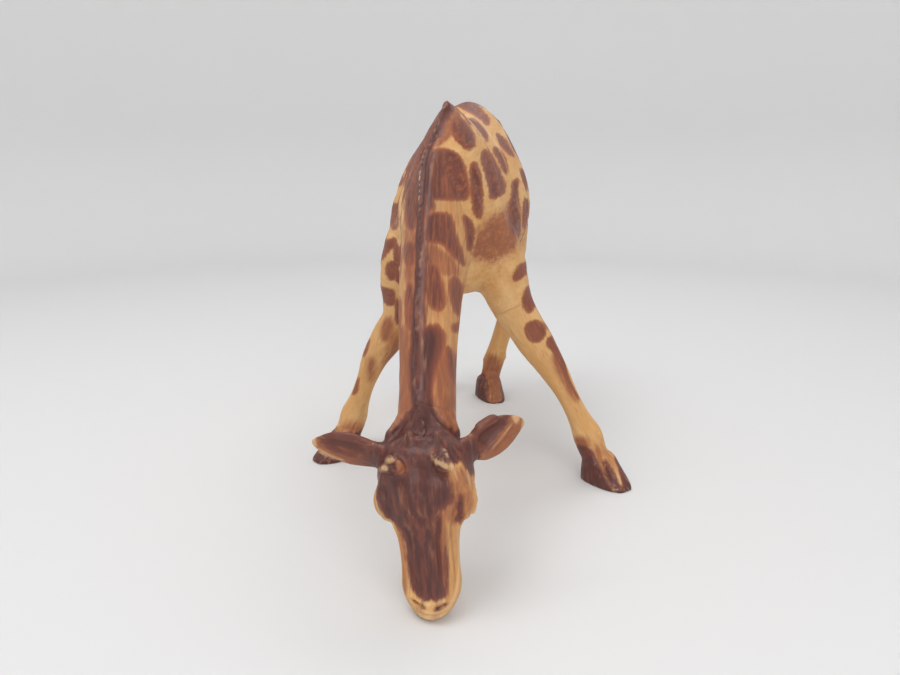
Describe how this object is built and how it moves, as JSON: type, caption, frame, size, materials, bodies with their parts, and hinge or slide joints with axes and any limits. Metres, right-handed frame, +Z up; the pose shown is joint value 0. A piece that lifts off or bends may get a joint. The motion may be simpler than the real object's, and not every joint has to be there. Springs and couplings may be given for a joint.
{
  "type": "toy wild animal figure",
  "caption": "Moulded giraffe figurine that stoops to drink, its forelegs splayed and its lips on the ground, painted ochre with brown patches.",
  "frame": {"origin": "on the ground under the middle of the figure's bounding box", "axes": "+Z up, -Y the way the figure faces, +X its own left side"},
  "size_m": [0.091, 0.1428, 0.1036],
  "materials": {
    "ochre": "soft vinyl, painted ochre with brown patches, low sheen",
    "chestnut": "soft vinyl, painted reddish brown, low sheen",
    "umber": "soft vinyl, painted dark brown, soft gloss"
  },
  "bodies": {
    "root": {"torso": "ochre", "neck": "ochre", "head": "umber", "left_ear": "umber", "right_ear": "umber", "front_left_leg": "ochre", "front_right_leg": "ochre", "hind_left_leg": "ochre", "hind_right_leg": "ochre", "tail": "chestnut"}
  },
  "joints": []
}
